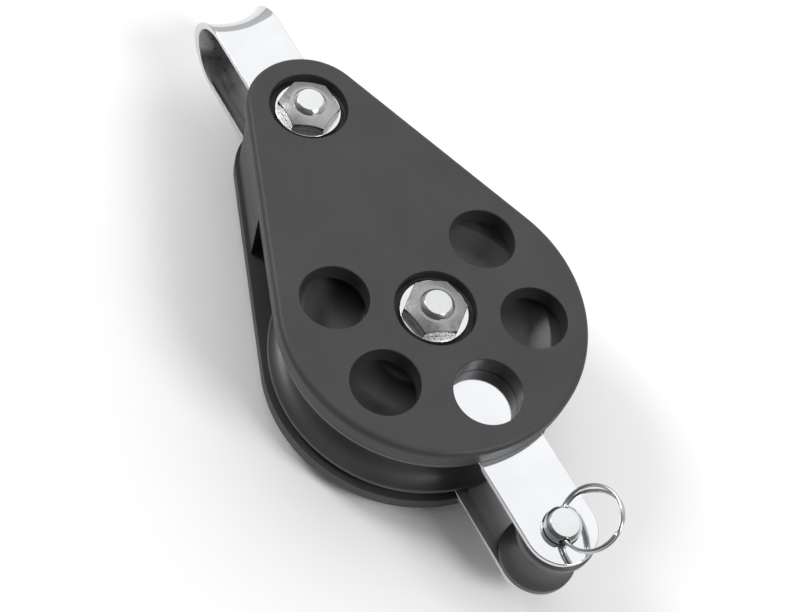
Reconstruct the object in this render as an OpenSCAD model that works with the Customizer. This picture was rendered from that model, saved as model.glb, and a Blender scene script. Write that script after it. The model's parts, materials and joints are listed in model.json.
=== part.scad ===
// Single sheave block with two teardrop cheeks, a fixed strap eye and a becket.
// Frame: millimetres, +Z along the sheave's axle towards the nuts, +X towards the becket,
// origin at the centre of the sheave.

/* [Cheeks] */
// radius of the cheek around the axle
cheek_r = 36; // [35.8:0.1:37]
// radius of the cheek around the head bolt
head_r = 15; // [14:0.5:18]
// distance from the axle to the head bolt
head_x = 60.3; // [58:0.5:64]
// thickness over both cheeks
block_w = 31; // [31:0.5:34]
// thickness of one cheek
cheek_t = 5.25; // [5:0.25:6]
// rounding of the cheek's outer edge
edge_r = 1.6; // [0.8:0.1:2.4]
// radius of a lightening hole
hole_r = 7.9; // [7:0.1:8]
// radius of the circle the lightening holes lie on
hole_ring_r = 22.9; // [22:0.1:24]
// inset of the head walls from the cheek's outline
wall_inset = 1.0; // [0.6:0.1:1.6]
// radius about the axle at which the head walls end
wall_end_r = 47; // [45:0.5:49]

/* [Strap] */
// width of the strap
strap_w = 17; // [16:0.5:17]
// thickness of the strap
strap_t = 1.6; // [1.5:0.1:2]
// distance from the axle to the clevis pin
becket_x = 55.3; // [55:0.1:58]
// distance from the axle to the outside of the eye
eye_x = 98.7; // [97:0.1:101]
// radius of the hollow across the eye
saddle_r = 12.6; // [11:0.1:13.5]

/* [Sheave] */
// outside radius of the sheave
sheave_r = 35; // [34:0.1:35]
// radius of the rope groove's section
groove_r = 6.9; // [6:0.1:6.9]
// outside radius of the hub's raised face
hub_r = 12.5; // [11:0.5:17]
// inside radius of the rim's raised face
rim_in_r = 29; // [26:0.1:29.5]
// depth of the recess between the hub and the rim
web_recess = 3; // [2:0.1:3.5]
// outside radius of the axle sleeve
sleeve_r = 6.5; // [6:0.1:7]
// side clearance of the sheave and the thimble
side_gap = 0.3; // [0.3:0.05:0.5]

/* [Fasteners] */
// radius of the bolts
bolt_r = 4; // [4:0.1:4]
// width of nuts and bolt heads across the flats
flats = 13; // [13:0.1:13]
// height of a nut
nut_h = 2.9; // [2.7:0.1:4]
// height of a bolt head
bolt_head_h = 5.3; // [4:0.1:5.5]
// length of bolt standing out of its nut
bolt_proud = 1.1; // [1:0.1:2.4]
// outside radius of a washer
washer_r = 8; // [8:0.1:8]
// thickness of a washer
washer_t = 1.6; // [1.2:0.1:1.6]
// radius of the recess around a nut
recess_r = 9.5; // [9:0.1:10]
// depth of the recess around a nut
recess_depth = 3.2; // [2.8:0.1:3.6]

/* [Becket] */
// radius of the clevis pin
pin_r = 4; // [4:0.1:4]
// length of clevis pin standing out of the strap
pin_proud = 3.0; // [3:0.1:4]
// radius of the clevis pin's head
pin_head_r = 5.8; // [5:0.1:6.5]
// thickness of the clevis pin's head
pin_head_t = 1.8; // [1.4:0.1:2.4]
// outside radius of the thimble
thimble_r = 8.9; // [8.5:0.1:9.5]
// radius at the bottom of the thimble's groove
thimble_waist_r = 6; // [5.6:0.1:6.4]
// diameter of the split ring's wire
wire_d = 0.8; // [0.7:0.05:0.8]
// radius of the split ring to the middle of its wire
ring_r = 7.15; // [7:0.05:9]
// angle of the pin's cross hole from the X axis
ring_yaw = -30; // [-90:1:90]
// angle of the split ring above the strap
ring_lift = 45; // [0:1:90]

/* [Hidden] */
$fn = 96;
eps = 0.01;
half_w = block_w / 2;
inner_z = half_w - cheek_t;
leg_z = inner_z - strap_t;
sheave_z = leg_z - side_gap;
seam = 0.05;
channel_gap = 0.3;
bolt_gap = 0.1;
running_gap = 0.05;
head_tube_r = 7;
lean = asin((cheek_r - head_r) / head_x);
side_len = head_x * cos(lean);
hole_angles = [0, 60, -60, 120, -120];
bolt_xs = [0, -head_x];
saddle_x = -eye_x - saddle_r;
bend_r = saddle_r + inner_z;
seat = half_w - recess_depth + washer_t;
bolt_end = seat + nut_h + bolt_proud;
end_chamfer = 0.9;
nut_turn = [9.5, 0];
nut_cone = 0.6;
nut_top_r = 4.7;
corner_cut = 0.5;
groove_x = sheave_r + 0.2;
pin_hole_r = 1.25;
pin_hole_z = inner_z + 1.5;
pin_chamfer = 0.45;
pin_end_chamfer = 0.8;
ring_offset = (ring_r + sqrt(ring_r * ring_r - pin_r * pin_r)) / 2;
coil_step = wire_d * 0.48;
thimble_lip = 2.2;

// flat outline of a cheek, pulled in by "inset"
module teardrop(inset) {
    circle(r = cheek_r - inset);
    translate([-head_x, 0]) circle(r = head_r - inset);
    polygon([
        [0, 0],
        (cheek_r - inset) * [-sin(lean), cos(lean)],
        [-head_x, 0] + (head_r - inset) * [-sin(lean), cos(lean)],
        [-head_x, 0] + (head_r - inset) * [-sin(lean), -cos(lean)],
        (cheek_r - inset) * [-sin(lean), -cos(lean)]
    ]);
}

// half section of a round plate with its outer top edge rounded
module plate_section(r) {
    difference() {
        square([r, cheek_t]);
        translate([r - edge_r, cheek_t - edge_r]) square(edge_r + eps);
    }
    translate([r - edge_r, cheek_t - edge_r]) intersection() {
        circle(r = edge_r);
        square(edge_r);
    }
}

// side strip of a cheek, with its section swept along the straight edge
module plate_side() {
    rotate(lean) translate([-side_len, cheek_r, 0]) rotate([90, 0, 90])
        linear_extrude(side_len) translate([-head_r, 0]) plate_section(head_r);
}

module plate() {
    rotate_extrude() plate_section(cheek_r);
    translate([-head_x, 0, 0]) rotate_extrude() plate_section(head_r);
    plate_side();
    mirror([0, 1, 0]) plate_side();
    linear_extrude(cheek_t) teardrop(edge_r);
}

// walls either side of the strap that keep the cheeks apart at the head
module head_walls() {
    translate([0, 0, seam]) linear_extrude(inner_z) difference() {
        teardrop(wall_inset);
        circle(r = wall_end_r);
        translate([-2 * head_x, -strap_w / 2 - channel_gap])
            square([2 * head_x, strap_w + 2 * channel_gap]);
    }
}

module cheek() {
    difference() {
        union() {
            translate([0, 0, inner_z]) plate();
            head_walls();
        }
        for (a = hole_angles) rotate(a) translate([hole_ring_r, 0, inner_z - 1])
            cylinder(r = hole_r, h = cheek_t + 2);
        for (x = bolt_xs) translate([x, 0, 0]) {
            translate([0, 0, half_w - recess_depth]) cylinder(r = recess_r, h = recess_depth + 1);
            translate([0, 0, inner_z - 1]) cylinder(r = bolt_r + bolt_gap, h = cheek_t + 2);
        }
    }
}

module front_cheek() {
    color([0.14, 0.14, 0.15]) cheek();
}

module back_cheek() {
    color([0.14, 0.14, 0.15]) mirror([0, 0, 1]) cheek();
}

// flat outline of one strap leg, from the bend to the rounded becket end
module leg_outline() {
    difference() {
        union() {
            translate([saddle_x, -strap_w / 2]) square([becket_x - saddle_x, strap_w]);
            translate([becket_x, 0]) circle(r = strap_w / 2);
        }
        translate([saddle_x, 0]) circle(r = bend_r);
        for (x = bolt_xs) translate([x, 0]) circle(r = bolt_r + bolt_gap);
        translate([becket_x, 0]) circle(r = pin_r + running_gap);
    }
}

// bend that joins the legs, hollowed across its width like a saddle
module eye_bend() {
    intersection() {
        translate([saddle_x, 0, 0]) rotate_extrude() difference() {
            translate([bend_r, 0]) circle(r = inner_z);
            translate([bend_r, 0]) circle(r = leg_z);
            translate([bend_r, -inner_z - 1]) square([inner_z + 1, 2 * inner_z + 2]);
        }
        translate([saddle_x, -strap_w / 2, -inner_z - 1])
            cube([bend_r + 1, strap_w, 2 * inner_z + 2]);
    }
}

module strap() {
    color([0.82, 0.83, 0.85]) union() {
        translate([0, 0, leg_z]) linear_extrude(strap_t) leg_outline();
        translate([0, 0, -inner_z]) linear_extrude(strap_t) leg_outline();
        eye_bend();
    }
}

module sheave() {
    color([0.09, 0.09, 0.1]) rotate_extrude() difference() {
        translate([sleeve_r + running_gap, -sheave_z])
            square([sheave_r - sleeve_r - running_gap, 2 * sheave_z]);
        translate([groove_x, 0]) circle(r = groove_r);
        for (s = [-1, 1]) translate([(hub_r + rim_in_r) / 2, s * sheave_z])
            square([rim_in_r - hub_r, 2 * web_recess], center = true);
    }
}

module tube(r_out, r_in, h) {
    rotate_extrude() translate([r_in, -h / 2]) square([r_out - r_in, h]);
}

module axle_sleeve() {
    color([0.78, 0.79, 0.8]) tube(sleeve_r, bolt_r + bolt_gap, 2 * leg_z);
}

module head_spacer() {
    color([0.78, 0.79, 0.8]) translate([-head_x, 0, 0])
        tube(head_tube_r, bolt_r + bolt_gap, 2 * leg_z);
}

// six-sided prism with its upper corners turned down
module hex_body(h) {
    intersection() {
        cylinder(d = flats / cos(30), h = h, $fn = 6);
        rotate_extrude() polygon([
            [0, 0],
            [flats / 2 / cos(30) + eps, 0],
            [flats / 2 / cos(30) + eps, h - corner_cut],
            [flats / 2 - 0.2, h],
            [0, h]
        ]);
    }
}

module bolt() {
    rotate_extrude() polygon([
        [0, -seat - 1],
        [bolt_r, -seat - 1],
        [bolt_r, bolt_end - end_chamfer],
        [bolt_r - end_chamfer, bolt_end],
        [0, bolt_end]
    ]);
    translate([0, 0, -seat]) mirror([0, 0, 1]) hex_body(bolt_head_h);
}

module bolts() {
    color([0.8, 0.81, 0.83]) for (x = bolt_xs) translate([x, 0, 0]) bolt();
}

// thin nut whose top rises from the flats to the bolt like a low cone
module nut() {
    difference() {
        intersection() {
            cylinder(d = flats / cos(30), h = nut_h, $fn = 6);
            rotate_extrude() polygon([
                [0, 0],
                [flats / 2 / cos(30) + eps, 0],
                [flats / 2 / cos(30) + eps, nut_h - nut_cone - corner_cut],
                [flats / 2, nut_h - nut_cone],
                [nut_top_r, nut_h],
                [0, nut_h]
            ]);
        }
        translate([0, 0, -1]) cylinder(r = bolt_r, h = nut_h + 2);
    }
}

module nuts() {
    color([0.8, 0.81, 0.83]) for (i = [0, 1])
        translate([bolt_xs[i], 0, seat]) rotate(nut_turn[i]) nut();
}

module washers() {
    color([0.84, 0.85, 0.87]) for (x = bolt_xs, s = [-1, 1])
        translate([x, 0, s * (half_w - recess_depth + washer_t / 2)])
            tube(washer_r, bolt_r + bolt_gap, washer_t);
}

module becket_thimble() {
    waist_h = 2 * (sheave_z - thimble_lip);
    depth = thimble_r - thimble_waist_r;
    arc_r = (waist_h * waist_h / 4 + depth * depth) / (2 * depth);
    color([0.09, 0.09, 0.1]) translate([becket_x, 0, 0]) rotate_extrude() difference() {
        translate([pin_r + running_gap, -sheave_z])
            square([thimble_r - pin_r - running_gap, 2 * sheave_z]);
        translate([thimble_waist_r + arc_r, 0]) circle(r = arc_r);
    }
}

module clevis_pin() {
    top = inner_z + pin_proud;
    color([0.82, 0.83, 0.85]) translate([becket_x, 0, 0]) difference() {
        rotate_extrude() polygon([
            [0, -inner_z - pin_head_t],
            [pin_head_r - pin_chamfer, -inner_z - pin_head_t],
            [pin_head_r, -inner_z - pin_head_t + pin_chamfer],
            [pin_head_r, -inner_z],
            [pin_r, -inner_z],
            [pin_r, top - pin_end_chamfer],
            [pin_r - pin_end_chamfer, top],
            [0, top]
        ]);
        translate([0, 0, pin_hole_z]) rotate(ring_yaw) rotate([0, 90, 0])
            translate([0, 0, -pin_r - 1]) cylinder(r = pin_hole_r, h = 2 * pin_r + 2);
    }
}

// two turns of wire side by side, threaded through the pin's cross hole
module split_ring() {
    color([0.8, 0.81, 0.83]) translate([becket_x, 0, pin_hole_z]) rotate(ring_yaw)
        rotate([ring_lift, 0, 0]) translate([0, ring_offset, 0]) {
            for (s = [-1, 1]) translate([0, 0, s * coil_step]) rotate_extrude()
                translate([ring_r, 0]) circle(d = wire_d, $fn = 32);
        }
}

front_cheek();
back_cheek();
strap();
sheave();
axle_sleeve();
head_spacer();
bolts();
nuts();
washers();
becket_thimble();
clevis_pin();
split_ring();
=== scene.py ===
"""Looks for a single sheave block: cheeks, strap, sheave, thimble, nuts and split ring are remodelled in
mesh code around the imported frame. Bolts, washers and clevis pin are their CAD shapes with broken edges,
and the axle sleeve and head spacer are the CAD meshes themselves."""
import json
import math

import bmesh
import bpy
from mathutils import Matrix, Vector
from mathutils.geometry import delaunay_2d_cdt


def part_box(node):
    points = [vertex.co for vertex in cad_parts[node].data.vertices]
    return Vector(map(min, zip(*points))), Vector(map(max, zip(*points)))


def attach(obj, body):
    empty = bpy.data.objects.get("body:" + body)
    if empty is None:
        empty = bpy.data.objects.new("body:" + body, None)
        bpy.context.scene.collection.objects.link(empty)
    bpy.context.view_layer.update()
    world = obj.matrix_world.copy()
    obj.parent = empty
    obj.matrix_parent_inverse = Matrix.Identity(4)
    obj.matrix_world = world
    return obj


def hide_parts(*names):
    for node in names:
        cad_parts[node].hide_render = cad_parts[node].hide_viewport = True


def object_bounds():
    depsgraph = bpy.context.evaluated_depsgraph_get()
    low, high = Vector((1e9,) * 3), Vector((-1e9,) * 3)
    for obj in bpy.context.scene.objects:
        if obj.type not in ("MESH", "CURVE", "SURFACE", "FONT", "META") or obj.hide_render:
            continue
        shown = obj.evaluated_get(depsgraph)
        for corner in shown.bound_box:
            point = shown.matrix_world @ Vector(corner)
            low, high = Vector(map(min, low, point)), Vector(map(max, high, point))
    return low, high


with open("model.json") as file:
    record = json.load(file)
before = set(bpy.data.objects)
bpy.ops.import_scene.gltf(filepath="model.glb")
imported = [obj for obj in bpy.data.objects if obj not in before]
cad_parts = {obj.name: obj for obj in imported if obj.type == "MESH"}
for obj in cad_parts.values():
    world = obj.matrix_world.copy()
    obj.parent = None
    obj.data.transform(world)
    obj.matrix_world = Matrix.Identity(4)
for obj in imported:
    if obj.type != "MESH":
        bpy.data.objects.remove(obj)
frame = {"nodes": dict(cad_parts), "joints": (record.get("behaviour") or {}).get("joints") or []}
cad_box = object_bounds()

MM = 0.001
nodes = frame["nodes"]
joints = {j["name"]: j for j in frame["joints"]}


# ---------------------------------------------------------------- sizes taken from the frame
cheek_lo, cheek_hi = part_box("front_cheek")
strap_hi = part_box("strap")[1]
sheave_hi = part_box("sheave")[1]
thimble_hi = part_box("becket_thimble")[1]
washer_lo, washer_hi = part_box("washers")

CHEEK_R = cheek_hi.x
HALF_W = cheek_hi.z
STRAP_HALF = strap_hi.y
PIN_X = strap_hi.x - STRAP_HALF
INNER_Z = strap_hi.z
STRAP_T = 1.6 * MM
LEG_Z = INNER_Z - STRAP_T
WASHER_R = (washer_hi.y - washer_lo.y) / 2
HEAD_X = -washer_lo.x - WASHER_R
HEAD_R = -cheek_lo.x - HEAD_X
SHEAVE_R = sheave_hi.x
SHEAVE_Z = sheave_hi.z
THIMBLE_R = thimble_hi.y
SLEEVE_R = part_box("axle_sleeve")[1].x
RUNNING_GAP = 0.05 * MM

EDGE_R = 1.6 * MM
HOLE_R = 7.9 * MM
HOLE_RING_R = 22.9 * MM
HOLE_ANGLES = (0, 60, -60, 120, -120)
RECESS_R = 9.5 * MM
RECESS_DEPTH = 3.2 * MM
BOLT_CLEAR_R = 4.1 * MM
PIN_CLEAR_R = 4.05 * MM
WALL_INSET = 1.0 * MM
WALL_END_R = 47.0 * MM
WALL_EDGE = 0.25 * MM
WALL_SUNK = 0.5 * MM
WALL_HALF = 12.0 * MM
RECESS_FILLET = 0.4 * MM
CHANNEL_HALF = STRAP_HALF + 0.3 * MM
SEAM = 0.05 * MM
LIP = 0.35 * MM
SADDLE_R = 12.6 * MM
STRAP_EDGE = 0.3 * MM
SADDLE_X = -98.7 * MM - SADDLE_R
BEND_R = SADDLE_R + INNER_Z
HUB_R = 12.5 * MM
RIM_IN_R = 29.0 * MM
WEB_RECESS = 3.0 * MM
GROOVE_X = SHEAVE_R + 0.2 * MM
GROOVE_R = 6.9 * MM
THIMBLE_WAIST_R = 6.0 * MM
THIMBLE_LIP = 2.2 * MM
WIRE_R = 0.40 * MM
RING_R = 7.15 * MM
RING_YAW = math.radians(-30)
RING_LIFT = math.radians(45)
COIL_STEP = 0.384 * MM
COIL_SPREAD = 0.2 * MM
COIL_SHIFT = 0.85 * MM
SPLAY_AT = math.radians(165)
SPLAY_HALF = math.radians(72)
NUT_FLATS = 13.0 * MM
NUT_CONE = 0.6 * MM
NUT_CORNER_CUT = 0.5 * MM
NUT_TOP_R = 4.7 * MM
NUT_TURNS = (9.5, 0)
PIN_R = 4.0 * MM


# ---------------------------------------------------------------- mesh helpers
def arc(cx, cy, r, start, end, count):
    """Points on an arc, both ends included, with angles in radians."""
    angles = [start + (end - start) * i / count for i in range(count + 1)]
    return [(cx + r * math.cos(a), cy + r * math.sin(a)) for a in angles]


def circle(cx, cy, r, count):
    return arc(cx, cy, r, 0, 2 * math.pi, count)[:-1]


def filleted(points, radii, steps=6):
    """A closed outline with each corner rounded by its own radius."""
    out = []
    for i, p in enumerate(points):
        r = radii[i] if isinstance(radii, (list, tuple)) else radii
        a, b, c = Vector(points[i - 1]), Vector(p), Vector(points[(i + 1) % len(points)])
        u, v = (a - b), (c - b)
        if r <= 0 or u.length < 1e-9 or v.length < 1e-9:
            out.append(tuple(b))
            continue
        half = u.angle(v) / 2
        reach = min(r / math.tan(half), u.length * 0.49, v.length * 0.49)
        rr = reach * math.tan(half)
        centre = b + (u.normalized() + v.normalized()).normalized() * (rr / math.sin(half))
        p0, p1 = b + u.normalized() * reach, b + v.normalized() * reach
        a0 = math.atan2(p0.y - centre.y, p0.x - centre.x)
        a1 = math.atan2(p1.y - centre.y, p1.x - centre.x)
        turn = (a1 - a0 + math.pi) % (2 * math.pi) - math.pi
        out += arc(centre.x, centre.y, rr, a0, a0 + turn, steps)
    return out


def even_normals(piece):
    """Shades large flat faces flat right up to their rounded edges."""
    weighted = piece.modifiers.new("flat_faces", "WEIGHTED_NORMAL")
    weighted.mode = "FACE_AREA"
    weighted.weight = 100
    weighted.keep_sharp = True


def finish_mesh(bm, name, body, material, replaced=(), sharp=35):
    """Closes a mesh into a named piece with smooth faces and creases kept sharp."""
    bmesh.ops.remove_doubles(bm, verts=bm.verts, dist=1e-7)
    bmesh.ops.recalc_face_normals(bm, faces=bm.faces)
    for f in bm.faces:
        f.smooth = True
    limit = math.radians(sharp)
    for e in bm.edges:
        if len(e.link_faces) == 2 and e.calc_face_angle(0) > limit:
            e.smooth = False
    mesh = bpy.data.meshes.new(name)
    bm.to_mesh(mesh)
    bm.free()
    piece = bpy.data.objects.new(name, mesh)
    bpy.context.scene.collection.objects.link(piece)
    mesh.materials.append(material)
    even_normals(piece)
    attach(piece, body)
    if replaced:
        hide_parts(*replaced)
    return piece


def lathe(bm, profile, x=0.0, y=0.0, count=160):
    """Turns a closed outline of (radius, height) points about a vertical axis at x, y."""
    rings = []
    for i in range(count):
        a = 2 * math.pi * i / count
        rings.append([bm.verts.new((x + r * math.cos(a), y + r * math.sin(a), z)) for r, z in profile])
    for i in range(count):
        a, b = rings[i], rings[(i + 1) % count]
        for j in range(len(profile)):
            k = (j + 1) % len(profile)
            bm.faces.new((a[j], b[j], b[k], a[k]))


def skin(bm, loops):
    """Joins closed loops of equal length with quads, and returns the loops as vertices."""
    rows = [[bm.verts.new(p) for p in loop] for loop in loops]
    for a, b in zip(rows, rows[1:]):
        for i in range(len(a)):
            j = (i + 1) % len(a)
            bm.faces.new((a[i], a[j], b[j], b[i]))
    return rows


def fill(bm, outer, holes, inside):
    """Fills the flat face between one outer loop and hole loops, all of them lists of vertices."""
    verts, edges = [], []
    for loop in [outer] + holes:
        n = len(verts)
        verts += loop
        edges += [(n + i, n + (i + 1) % len(loop)) for i in range(len(loop))]
    flat = [Vector((v.co.x, v.co.y)) for v in verts]
    points, _, faces, origin, _, _ = delaunay_2d_cdt(flat, edges, [], 1, 1e-9)
    for face in faces:
        centre = sum((points[i] for i in face), Vector((0, 0))) / len(face)
        if inside(centre):
            corner = [verts[origin[i][0]] for i in face]
            if len(set(corner)) == 3:
                bm.faces.new(corner)


# ---------------------------------------------------------------- materials
def node_tree(name):
    mat = bpy.data.materials.new(name)
    mat.use_nodes = True
    tree = mat.node_tree
    return mat, tree, tree.nodes["Principled BSDF"]


def add(tree, kind, **values):
    node = tree.nodes.new(kind)
    for key, value in values.items():
        setattr(node, key, value)
    return node


def noise(tree, vector, scale, detail=4.0, rough=0.55):
    n = add(tree, "ShaderNodeTexNoise")
    n.inputs["Scale"].default_value = scale
    n.inputs["Detail"].default_value = detail
    n.inputs["Roughness"].default_value = rough
    tree.links.new(vector, n.inputs["Vector"])
    return n.outputs["Fac"]


def spread(tree, value, low, high, from_low=0.3, from_high=0.7):
    m = add(tree, "ShaderNodeMapRange")
    m.inputs["From Min"].default_value = from_low
    m.inputs["From Max"].default_value = from_high
    m.inputs["To Min"].default_value = low
    m.inputs["To Max"].default_value = high
    tree.links.new(value, m.inputs["Value"])
    return m.outputs["Result"]


def tint(tree, value, dark, light):
    ramp = add(tree, "ShaderNodeValToRGB")
    ramp.color_ramp.elements[0].position = 0.3
    ramp.color_ramp.elements[1].position = 0.7
    ramp.color_ramp.elements[0].color = (*dark, 1)
    ramp.color_ramp.elements[1].color = (*light, 1)
    tree.links.new(value, ramp.inputs["Fac"])
    return ramp.outputs["Color"]


def bump(tree, value, shader, strength, distance, below=None):
    b = add(tree, "ShaderNodeBump")
    b.inputs["Strength"].default_value = strength
    b.inputs["Distance"].default_value = distance
    tree.links.new(value, b.inputs["Height"])
    if below is not None:
        tree.links.new(below, b.inputs["Normal"])
    tree.links.new(b.outputs["Normal"], shader.inputs["Normal"])
    return b.outputs["Normal"]


def coordinates(tree, scale=(1, 1, 1), offset=(0, 0, 0)):
    c = add(tree, "ShaderNodeTexCoord")
    m = add(tree, "ShaderNodeMapping")
    m.inputs["Scale"].default_value = scale
    m.inputs["Location"].default_value = offset
    tree.links.new(c.outputs["Object"], m.inputs["Vector"])
    return m.outputs["Vector"]


def rings(tree, x, pitch):
    """Fine concentric turning marks about a vertical axis at x."""
    where = coordinates(tree, (1, 1, 0), (-x, 0, 0))
    length = add(tree, "ShaderNodeVectorMath", operation="LENGTH")
    tree.links.new(where, length.inputs[0])
    n = add(tree, "ShaderNodeTexNoise", noise_dimensions="1D")
    n.inputs["Scale"].default_value = 1 / pitch
    n.inputs["Detail"].default_value = 3
    tree.links.new(length.outputs["Value"], n.inputs["W"])
    return n.outputs["Fac"]


def plastic(name, dark, light, rough, grain, depth, spec=0.5, turned=None):
    mat, tree, shader = node_tree(name)
    where = coordinates(tree)
    cloudy = noise(tree, where, 60, 5)
    tree.links.new(tint(tree, cloudy, dark, light), shader.inputs["Base Color"])
    fine = noise(tree, where, grain, 3, 0.6)
    tree.links.new(spread(tree, fine, rough - 0.06, rough + 0.06), shader.inputs["Roughness"])
    shader.inputs["Specular IOR Level"].default_value = spec
    normal = bump(tree, fine, shader, 0.5, depth)
    if turned is not None:
        bump(tree, rings(tree, turned, 0.25 * MM), shader, 0.5, 0.012 * MM, normal)
    return mat


def metal(name, dark, light, rough, streak, depth, turned=None):
    mat, tree, shader = node_tree(name)
    shader.inputs["Metallic"].default_value = 1.0
    where = coordinates(tree)
    smudge = noise(tree, where, 90, 4)
    tree.links.new(tint(tree, smudge, dark, light), shader.inputs["Base Color"])
    if turned is None:
        fine = noise(tree, coordinates(tree, streak), 1000, 2)
    else:
        fine = rings(tree, turned, 0.12 * MM)
    tree.links.new(spread(tree, fine, rough * 0.7, rough * 1.4), shader.inputs["Roughness"])
    bump(tree, fine, shader, 0.35, depth)
    return mat


DRAWN = (0.04, 1.0, 1.0)
EVEN = (1.0, 1.0, 1.0)
cheek_mat = plastic("cheek_plastic_look", (0.036, 0.0362, 0.0365), (0.045, 0.0452, 0.0455),
                    rough=0.5, grain=2400, depth=0.06 * MM, spec=0.35)
sheave_mat = plastic("sheave_plastic_look", (0.047, 0.0472, 0.0475), (0.057, 0.0572, 0.0575),
                     rough=0.38, grain=2200, depth=0.015 * MM, turned=0.0)
thimble_mat = plastic("thimble_plastic_look", (0.055, 0.0552, 0.0555), (0.068, 0.0682, 0.0685),
                      rough=0.38, grain=2200, depth=0.015 * MM, turned=PIN_X)
strap_mat = metal("strap_look", (0.66, 0.67, 0.69), (0.71, 0.72, 0.735),
                  rough=0.07, streak=DRAWN, depth=0.002 * MM)
# Darker colour for the strip's inner faces between its legs: painted shade standing in for the dark
# reflections there; the higher roughness is the strip's own
strap_inner_shade_mat = metal("strap_inner_painted_shade_look", (0.27, 0.27, 0.272), (0.36, 0.36, 0.362),
                        rough=0.34, streak=DRAWN, depth=0.006 * MM)
steel_mat = metal("fastener_steel_look", (0.56, 0.57, 0.58), (0.66, 0.665, 0.67),
                  rough=0.2, streak=EVEN, depth=0.006 * MM)
# Same steel as the other fasteners but coloured darker: painted shade standing in for the dark reflections on
# the nuts
nut_shaded_mat = metal("nut_steel_painted_shade_look", (0.25, 0.25, 0.252), (0.36, 0.362, 0.365),
                rough=0.24, streak=EVEN, depth=0.006 * MM)
washer_mat = metal("washer_steel_look", (0.60, 0.61, 0.62), (0.70, 0.705, 0.71),
                   rough=0.16, streak=EVEN, depth=0.004 * MM)
pin_mat = metal("pin_steel_look", (0.60, 0.61, 0.62), (0.70, 0.705, 0.71),
                rough=0.18, streak=None, depth=0.006 * MM, turned=PIN_X)
wire_mat = metal("wire_steel_look", (0.46, 0.465, 0.47), (0.54, 0.545, 0.55),
                 rough=0.16, streak=EVEN, depth=0.003 * MM)
for node in ("axle_sleeve", "head_spacer"):
    mesh = nodes[node].data
    mesh.materials.clear()
    mesh.materials.append(steel_mat)


# ---------------------------------------------------------------- cheeks
def teardrop(inset, z, count=96):
    """The cheek's outline as a loop at height z, pulled in by inset."""
    lean = math.asin((CHEEK_R - HEAD_R) / HEAD_X)
    top = math.pi / 2 + lean
    big = arc(0, 0, CHEEK_R - inset, -top, top, count)
    small = arc(-HEAD_X, 0, HEAD_R - inset, top, 2 * math.pi - top, count // 2)
    start, end = Vector(big[-1]), Vector(small[0])
    side = [tuple(start.lerp(end, i / 12)) for i in range(1, 12)]
    back_start, back_end = Vector(small[-1]), Vector(big[0])
    other = [tuple(back_start.lerp(back_end, i / 12)) for i in range(1, 12)]
    return [(x, y, z) for x, y in big + side + small + other]


def inside_teardrop(p, inset):
    r, h = CHEEK_R - inset, HEAD_R - inset
    if p.length < r or (p - Vector((-HEAD_X, 0))).length < h:
        return True
    lean = math.asin((CHEEK_R - HEAD_R) / HEAD_X)
    n = Vector((-math.sin(lean), math.cos(lean)))
    q = Vector((p.x, abs(p.y)))
    along = q.dot(Vector((-n.y, n.x)))
    return q.dot(n) < r and 0 < along < HEAD_X * math.cos(lean)


def ring(x, y, r, z, count):
    return [(px, py, z) for px, py in circle(x, y, r, count)]


def hole_centres():
    return [
        (HOLE_RING_R * math.cos(math.radians(a)), HOLE_RING_R * math.sin(math.radians(a)), HOLE_R, None)
        for a in HOLE_ANGLES
    ] + [(x, 0.0, RECESS_R, BOLT_CLEAR_R) for x in (0.0, -HEAD_X)]


def plate(bm):
    """The cheek's plate: rounded outer edge, soft lips on the holes, recesses for the nuts."""
    steps = 8
    loops = [teardrop(0.15 * MM, INNER_Z), teardrop(0.0, INNER_Z + 0.15 * MM), teardrop(0.0, HALF_W - EDGE_R)]
    for i in range(1, steps + 1):
        a = math.pi / 2 * i / steps
        loops.append(teardrop(EDGE_R * (1 - math.cos(a)), HALF_W - EDGE_R * (1 - math.sin(a))))
    rows = skin(bm, loops)
    top_holes, under_holes, openings, unders = [], [], [], []
    for x, y, r, bore in hole_centres():
        n = 72
        lip = []
        for i in range(5):
            a = math.pi / 2 * i / 4
            lip.append(ring(x, y, r + LIP * (1 - math.sin(a)), HALF_W - LIP * (1 - math.cos(a)), n))
        if bore is None:
            lip += [ring(x, y, r, INNER_Z + 0.2 * MM, n), ring(x, y, r + 0.2 * MM, INNER_Z, n)]
            opening = r + 0.2 * MM
        else:
            floor = HALF_W - RECESS_DEPTH
            for i in range(5):
                a = math.pi / 2 * i / 4
                lip.append(ring(x, y, r - RECESS_FILLET * (1 - math.cos(a)),
                                floor + RECESS_FILLET * (1 - math.sin(a)), n))
            lip += [ring(x, y, bore, floor, n), ring(x, y, bore, INNER_Z, n)]
            opening = bore
        made = skin(bm, lip)
        top_holes.append(made[0])
        under_holes.append(made[-1])
        openings.append((Vector((x, y)), r + LIP))
        unders.append((Vector((x, y)), opening))
    fill(bm, rows[-1], top_holes,
         lambda p: inside_teardrop(p, EDGE_R) and all((p - c).length > r * 0.999 for c, r in openings))
    fill(bm, rows[0], under_holes,
         lambda p: inside_teardrop(p, 0.15 * MM) and all((p - c).length > r * 0.999 for c, r in unders))


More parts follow.
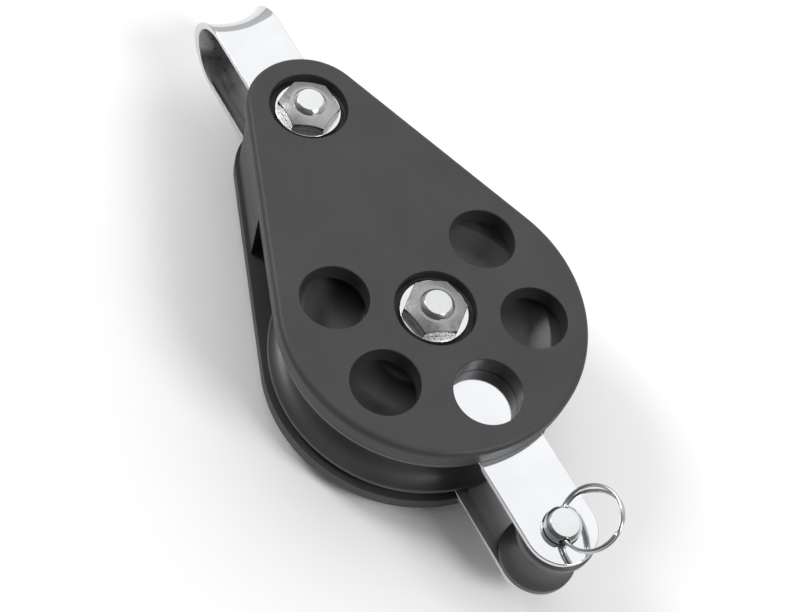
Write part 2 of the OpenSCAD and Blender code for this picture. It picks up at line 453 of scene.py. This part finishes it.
def head_wall(bm, side):
    """One wall beside the strap's channel, as a prism with softened upright edges."""
    lean = math.asin((CHEEK_R - HEAD_R) / HEAD_X)
    n = Vector((-math.sin(lean), math.cos(lean)))
    h = HEAD_R - WALL_INSET
    big = CHEEK_R - WALL_INSET
    low = math.asin(CHANNEL_HALF / h)
    head_arc = arc(-HEAD_X, 0, h, math.pi - low, math.pi / 2 + lean, 24)
    foot = Vector((big * n.x, big * n.y))
    t = Vector((-n.y, n.x))
    reach = math.sqrt(WALL_END_R ** 2 - big ** 2)
    corner = foot + t * reach
    a0 = math.atan2(corner.y, corner.x)
    a1 = math.pi - math.asin(CHANNEL_HALF / WALL_END_R)
    end_arc = arc(0, 0, WALL_END_R, a0, a1, 20)
    outline = head_arc + end_arc
    centre = sum((Vector(p) for p in outline), Vector((0, 0))) / len(outline)
    loops = []
    for inset, z in ((WALL_EDGE, SEAM), (0.0, SEAM + WALL_EDGE), (0.0, INNER_Z + WALL_SUNK)):
        loops.append([
            (x + (centre.x - x) * inset / WALL_HALF, side * (y + (centre.y - y) * inset / WALL_HALF), z)
            for x, y in outline
        ])
    rows = skin(bm, loops)
    bm.faces.new(rows[0])
    bm.faces.new(rows[-1])


def cheek(name, node, flip):
    bm = bmesh.new()
    plate(bm)
    for side in (1, -1):
        head_wall(bm, side)
    if flip:
        bmesh.ops.scale(bm, vec=(1, 1, -1), verts=bm.verts)
    return finish_mesh(bm, name, "block", cheek_mat, (node,))


cheek("front_cheek_shell", "front_cheek", False)
cheek("back_cheek_shell", "back_cheek", True)


# ---------------------------------------------------------------- strap
def strap_section():
    """The strip's cross-section, as (distance across, height above its middle), with rounded edges."""
    half, steps = STRAP_T / 2, 4
    edge = []
    for i in range(steps + 1):
        a = math.pi / 2 * i / steps
        edge.append((STRAP_EDGE * (1 - math.sin(a)), half - STRAP_EDGE * (1 - math.cos(a))))
    return edge + [(inset, -h) for inset, h in edge[::-1]]


def strap():
    """A flat strip folded back on itself round a saddle-shaped bend, with rounded edges."""
    bm = bmesh.new()
    across, around = 28, 56
    mid = (INNER_Z + LEG_Z) / 2
    edge = strap_section()
    flat = STRAP_HALF - STRAP_EDGE
    ys = [flat * (2 * i / across - 1) for i in range(across + 1)]
    section = [(y, STRAP_T / 2) for y in ys] + [(STRAP_HALF - d, h) for d, h in edge[1:-1]]
    section += [(y, -STRAP_T / 2) for y in ys[::-1]] + [(d - STRAP_HALF, h) for d, h in edge[-2:0:-1]]
    rows = []
    for k in range(around + 1):
        a = math.pi * k / around
        row = []
        for y, h in section:
            rho = BEND_R - (mid + h) * math.sin(a)
            row.append(bm.verts.new((SADDLE_X + math.sqrt(rho * rho - y * y), y, (mid + h) * math.cos(a))))
        rows.append(row)
    for a, b in zip(rows, rows[1:]):
        for i in range(len(a)):
            j = (i + 1) % len(a)
            bm.faces.new((a[i], a[j], b[j], b[i]))
    bores = [(0.0, BOLT_CLEAR_R), (-HEAD_X, BOLT_CLEAR_R), (PIN_X, PIN_CLEAR_R)]
    for sign in (1, -1):
        lines = []
        for inset, h in edge:
            y = STRAP_HALF - inset
            start = SADDLE_X + math.sqrt(BEND_R ** 2 - y * y)
            side = [start + (PIN_X - start) * i / 50 for i in range(50)]
            line = [(x, y) for x in side]
            line += arc(PIN_X, 0, y, math.pi / 2, -math.pi / 2, 60)
            line += [(x, -y) for x in side[::-1]]
            lines.append([bm.verts.new((px, py, sign * (mid + h))) for px, py in line])
        for a, b in zip(lines, lines[1:]):
            for i in range(len(a) - 1):
                bm.faces.new((a[i], a[i + 1], b[i + 1], b[i]))
        bore_rows = []
        for x, r in bores:
            loops = [ring(x, 0, r + d, sign * (mid + h), 72) for d, h in edge]
            bore_rows.append(skin(bm, loops))
        for which, h in ((0, STRAP_T / 2), (-1, -STRAP_T / 2)):
            z = sign * (mid + h)
            cross = [bm.verts.new((SADDLE_X + math.sqrt(BEND_R ** 2 - y * y), y, z)) for y in ys[1:-1]]

            def inside(p):
                if any((p - Vector((x, 0))).length < (r + STRAP_EDGE) * 0.999 for x, r in bores):
                    return False
                if (p - Vector((SADDLE_X, 0))).length < BEND_R * 0.9997:
                    return False
                return p.x < PIN_X or (p - Vector((PIN_X, 0))).length < flat

            fill(bm, lines[which] + cross, [row[which] for row in bore_rows], inside)
    piece = finish_mesh(bm, "strap_polished", "block", strap_mat, ("strap",), 60)
    piece.data.materials.append(strap_inner_shade_mat)
    # Faces turned in between the two legs take the darker colour: painted shade
    for face in piece.data.polygons:
        c = face.center
        bend_x = SADDLE_X + math.sqrt(BEND_R ** 2 - c.y * c.y)
        inwards = Vector((max(0.0, bend_x - c.x), 0, -c.z))
        if face.normal.dot(inwards.normalized()) > 0.7:
            face.material_index = 1
    return piece


strap()


# ---------------------------------------------------------------- sheave and thimble
def sheave():
    inner = SLEEVE_R + RUNNING_GAP
    depth = WEB_RECESS
    face = SHEAVE_Z
    half = math.asin(min(1, (GROOVE_X - SHEAVE_R) / GROOVE_R))
    groove = arc(GROOVE_X, 0, GROOVE_R, math.pi / 2 + half, 1.5 * math.pi - half, 32)
    upper = [(inner, face), (HUB_R, face), (HUB_R + 1.6 * MM, face - depth),
             (RIM_IN_R - 5.5 * MM, face - depth), (RIM_IN_R, face), (SHEAVE_R, face)]
    corner = [0.4 * MM, 0.5 * MM, 2.2 * MM, 7.0 * MM, 0.6 * MM, 0.45 * MM]
    lower = [(r, -z) for r, z in upper[::-1]]
    points = upper + groove + lower
    radii = corner + [0.3 * MM] + [0] * (len(groove) - 2) + [0.3 * MM] + corner[::-1]
    bm = bmesh.new()
    lathe(bm, filleted(points, radii), 0, 0, 200)
    return finish_mesh(bm, "sheave_turned", "sheave", sheave_mat, ("sheave",), 50)


def thimble():
    inner = PIN_CLEAR_R
    face = thimble_hi.z
    half_h = face - THIMBLE_LIP
    depth = THIMBLE_R - THIMBLE_WAIST_R
    r = (half_h * half_h + depth * depth) / (2 * depth)
    span = math.asin(half_h / r)
    groove = arc(THIMBLE_WAIST_R + r, 0, r, math.pi - span, math.pi + span, 32)
    points = [(inner, face), (THIMBLE_R, face)] + groove + [(THIMBLE_R, -face), (inner, -face)]
    radii = [0.3 * MM, 0.6 * MM, 0.35 * MM] + [0] * (len(groove) - 2) + [0.35 * MM, 0.6 * MM, 0.3 * MM]
    bm = bmesh.new()
    lathe(bm, filleted(points, radii), PIN_X, 0, 128)
    return finish_mesh(bm, "thimble_turned", "thimble", thimble_mat,
                       ("becket_thimble",), 50)


sheave()
thimble()


# ---------------------------------------------------------------- fasteners
def softened(name, node, body, material, width):
    """A copy of a CAD node with its flat faces merged and its sharp edges broken."""
    bm = bmesh.new()
    bm.from_mesh(nodes[node].data)
    bmesh.ops.remove_doubles(bm, verts=bm.verts, dist=1e-7)
    bmesh.ops.dissolve_limit(bm, angle_limit=math.radians(0.5), verts=bm.verts, edges=bm.edges)
    piece = finish_mesh(bm, name, body, material, (node,), 25)
    piece.modifiers.clear()
    bevel = piece.modifiers.new("broken_edges", "BEVEL")
    bevel.width = width
    bevel.segments = 2
    bevel.limit_method = "ANGLE"
    bevel.angle_limit = math.radians(25)
    bevel.use_clamp_overlap = True
    even_normals(piece)
    for edge in piece.data.edges:
        edge.use_edge_sharp = False
    return piece


def nuts():
    """Two thin hexagon nuts, each topped by a low cone that meets the flats in a curved edge."""
    lo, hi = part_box("nuts")
    base, top = lo.z, hi.z
    half, bore, count = NUT_FLATS / 2, PIN_R, 216
    bm = bmesh.new()
    for x, turn in ((0.0, NUT_TURNS[0]), (-HEAD_X, NUT_TURNS[1])):
        columns = []
        for i in range(count):
            a = 2 * math.pi * i / count
            r = half / math.cos(a % (math.pi / 3) - math.pi / 6)
            fall = NUT_CORNER_CUT * (r - half) / (half / math.cos(math.pi / 6) - half)
            edge = top - NUT_CONE - fall
            profile = [(bore, base), (r - 0.1 * MM, base), (r, base + 0.1 * MM), (r, edge - 0.12 * MM),
                       (r - 0.12 * MM, edge), (NUT_TOP_R + 0.1 * MM, top - 0.05 * MM),
                       (NUT_TOP_R - 0.1 * MM, top), (bore, top)]
            turned = a + math.radians(turn)
            columns.append([
                bm.verts.new((x + rr * math.cos(turned), rr * math.sin(turned), z)) for rr, z in profile
            ])
        for i in range(count):
            a, b = columns[i], columns[(i + 1) % count]
            for j in range(len(a)):
                k = (j + 1) % len(a)
                bm.faces.new((a[j], b[j], b[k], a[k]))
    return finish_mesh(bm, "nuts_finished", "block", nut_shaded_mat, ("nuts",), 25)


nuts()
for node, mat in (("bolts", steel_mat), ("washers", washer_mat)):
    softened(node + "_finished", node, "block", mat, 0.15 * MM)
softened("clevis_pin_finished", "clevis_pin", "pin", pin_mat, 0.12 * MM)


# ---------------------------------------------------------------- split ring
def split_ring():
    """One wire wound twice round, stepping from the lower coil to the upper one at the far side."""
    pivot = Vector(joints["ring_swing"]["pos_m"])
    turn = Matrix.Rotation(RING_YAW, 4, "Z") @ Matrix.Rotation(RING_LIFT, 4, "X")
    offset = (RING_R + math.sqrt(RING_R ** 2 - PIN_R ** 2)) / 2
    place = Matrix.Translation(pivot) @ turn @ Matrix.Translation((0, offset, 0))
    bm = bmesh.new()
    count, sides = 288, 20
    start, total = math.radians(68), math.radians(704)
    loops = []
    for i in range(count + 1):
        a = total * i / count
        step = min(1, max(0, (a - math.radians(330)) / math.radians(60)))
        step = step * step * (3 - 2 * step)
        angle = start + a
        off = (angle - SPLAY_AT + math.pi) % (2 * math.pi) - math.pi
        splay = math.cos(off * math.pi / 2 / SPLAY_HALF) ** 2 if abs(off) < SPLAY_HALF else 0.0
        height = (COIL_STEP + COIL_SPREAD * splay) * (2 * step - 1)
        radial = Vector((math.cos(angle), math.sin(angle), 0))
        coil_r = RING_R - COIL_SHIFT * splay * (1 - step)
        end = min(i, count - i)
        r = WIRE_R * (0.62 if end == 0 else 0.9 if end == 1 else 1.0)
        loops.append([
            place @ (radial * (coil_r + r * math.cos(2 * math.pi * k / sides))
                     + Vector((0, 0, height + r * math.sin(2 * math.pi * k / sides))))
            for k in range(sides)
        ])
    rows = skin(bm, loops)
    bm.faces.new(rows[0])
    bm.faces.new(rows[-1])
    return finish_mesh(bm, "split_ring_wire", "ring", wire_mat, ("split_ring",), 50)


split_ring()


# ---------------------------------------------------------------- floor, light and camera
def surface(name, colour, rough):
    mat, _, shader = node_tree(name)
    shader.inputs["Base Color"].default_value = (*colour, 1)
    shader.inputs["Roughness"].default_value = rough
    return mat


floor_mesh = bpy.data.meshes.new("floor")
reach = 6.0
floor_z = cad_box[0].z
corners = [(x * reach, y * reach, floor_z) for x, y in ((-1, -1), (1, -1), (1, 1), (-1, 1))]
floor_mesh.from_pydata(corners, [], [(0, 1, 2, 3)])
floor = bpy.data.objects.new("floor", floor_mesh)
bpy.context.scene.collection.objects.link(floor)
floor_mesh.materials.append(surface("floor_paint", (0.9, 0.9, 0.9), 0.9))


def softbox(name, position, aim, width, power):
    light = bpy.data.lights.new(name, "AREA")
    light.shape = "SQUARE"
    light.size = width
    light.energy = power
    lamp = bpy.data.objects.new(name, light)
    bpy.context.scene.collection.objects.link(lamp)
    lamp.location = position
    lamp.rotation_euler = (Vector(aim) - Vector(position)).to_track_quat("-Z", "Y").to_euler()
    return lamp


world = bpy.data.worlds.new("studio")
bpy.context.scene.world = world
world.use_nodes = True
sky = world.node_tree
background = sky.nodes["Background"]
background.inputs["Color"].default_value = (1.0, 1.0, 1.0, 1)
direction = add(sky, "ShaderNodeTexCoord")
towards = add(sky, "ShaderNodeVectorMath", operation="DOT_PRODUCT")
towards.inputs[1].default_value = (-0.50, 0.66, 0.56)
sky.links.new(direction.outputs["Generated"], towards.inputs[0])
sky.links.new(spread(sky, towards.outputs["Value"], 0.10, 0.66, -0.3, 0.8), background.inputs["Strength"])
softbox("key", (-0.42, 0.5, 1.0), (0, 0, 0), 1.5, 4.6)
softbox("left", (-1.0, -0.55, 0.95), (0, 0, 0), 0.45, 9)
softbox("right", (0.95, 0.35, 1.0), (0, 0, 0), 0.45, 9)

camera = bpy.data.cameras.new("camera")
camera.sensor_width = 36.0
camera.lens = 61.15
camera_object = bpy.data.objects.new("camera", camera)
bpy.context.scene.collection.objects.link(camera_object)
camera_object.rotation_mode = "XYZ"
camera_object.location = (0.10051, -0.13109, 0.27031)
camera_object.rotation_euler = [math.radians(a) for a in (30.301, -12.014, 59.7)]
bpy.context.scene.camera = camera_object
bpy.context.scene.view_settings.view_transform = "Standard"
